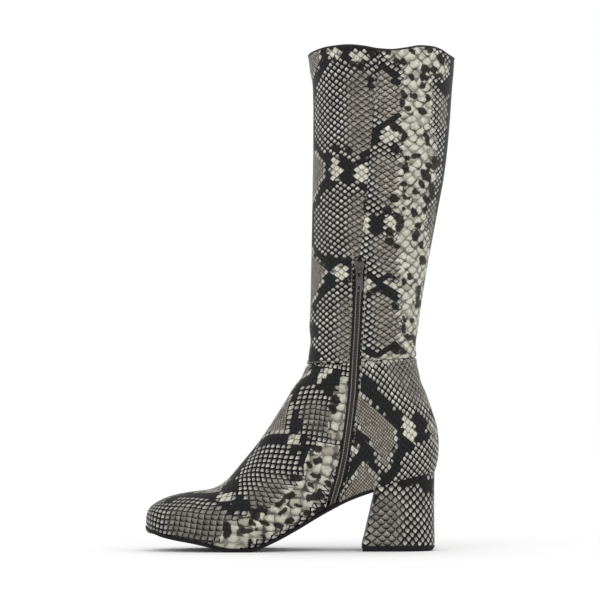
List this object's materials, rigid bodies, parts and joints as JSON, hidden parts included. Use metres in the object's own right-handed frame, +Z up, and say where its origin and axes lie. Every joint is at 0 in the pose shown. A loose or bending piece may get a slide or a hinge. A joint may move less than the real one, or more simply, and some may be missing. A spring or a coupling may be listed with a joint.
{
  "type": "stretch boot",
  "caption": "Knee-high stretch boot in a snake print with a soft square toe, an inside zip with a swinging pull, and a covered block heel.",
  "frame": {"origin": "middle of the bounding box on the floor", "axes": "+Z up, -X towards the toe, -Y towards the inner side of the foot, where the zip is"},
  "size_m": [0.2532, 0.1108, 0.412],
  "materials": {
    "printed_stretch": "satin snake print on a stretch backing",
    "black_rubber": "matt",
    "insole_board": "matt",
    "zip_nylon": "woven tape and nylon coil",
    "gunmetal": "dark plated"
  },
  "bodies": {
    "boot": {"upper": "printed_stretch", "shaft": "printed_stretch", "insole": "insole_board", "outsole": "black_rubber", "heel_block": "printed_stretch", "heel_top_piece": "black_rubber", "zip_tape": "zip_nylon", "zip_coil": "zip_nylon", "zip_slider": "gunmetal"},
    "zip_pull": {"zip_pull": "gunmetal"}
  },
  "joints": [
    {"name": "pull_swing", "type": "hinge", "parent": "boot", "child": "zip_pull", "pos_m": [0.04798, -0.04593, 0.2328], "axis": [-1, 0, 0], "range_deg": [0, 170]}
  ]
}
